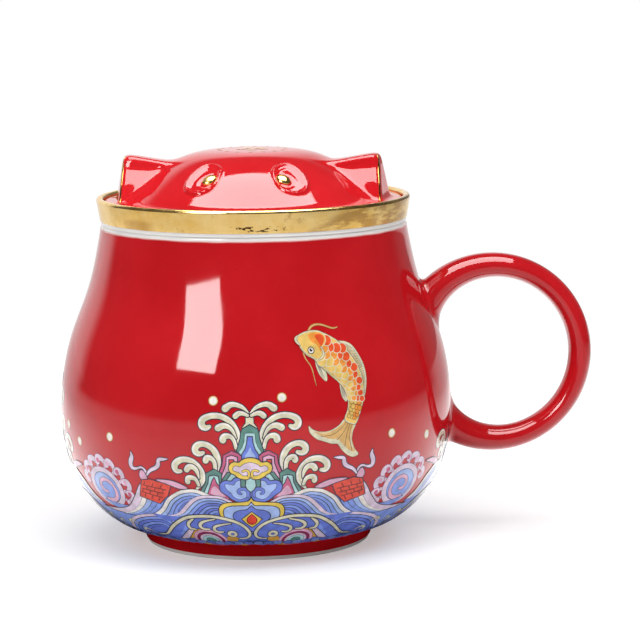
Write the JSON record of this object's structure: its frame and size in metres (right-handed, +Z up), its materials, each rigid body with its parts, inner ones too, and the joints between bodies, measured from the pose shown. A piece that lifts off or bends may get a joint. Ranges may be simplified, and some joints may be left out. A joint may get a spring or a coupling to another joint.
{
  "type": "lidded tea mug with infuser",
  "caption": "Round-bellied porcelain mug with a ring handle, a lift-out perforated infuser with a gilded collar, and a loose lid shaped as a cat's head.",
  "frame": {"origin": "centre of the foot ring's standing plane", "axes": "+Z up along the mug's axis, +X towards the handle, -Y the way the cat's face looks"},
  "size_m": [0.1463, 0.1074, 0.1079],
  "materials": {
    "white_porcelain": "clear-glazed white porcelain",
    "red_glaze": "glossy deep red glaze",
    "lid_glaze": "glossy bright red glaze",
    "gilt": "fired-on bright gold lustre"
  },
  "bodies": {
    "mug": {"mug_body": "white_porcelain", "mug_glaze": "red_glaze", "handle": "red_glaze"},
    "infuser": {"infuser_basket": "white_porcelain", "collar_gilding": "gilt"},
    "lid": {"lid_crown": "lid_glaze", "right_ear": "lid_glaze", "left_ear": "lid_glaze", "right_ear_gilding": "gilt", "left_ear_gilding": "gilt", "right_eyelid": "lid_glaze", "left_eyelid": "lid_glaze", "right_pupil": "gilt", "left_pupil": "gilt", "crown_gilding": "gilt"}
  },
  "joints": [
    {"name": "infuser_lift", "type": "slide", "parent": "mug", "child": "infuser", "axis": [0, 0, 1], "range_m": [0, 0.065]},
    {"name": "lid_lift", "type": "slide", "parent": "infuser", "child": "lid", "axis": [0, 0, 1], "range_m": [0, 0.03]}
  ]
}
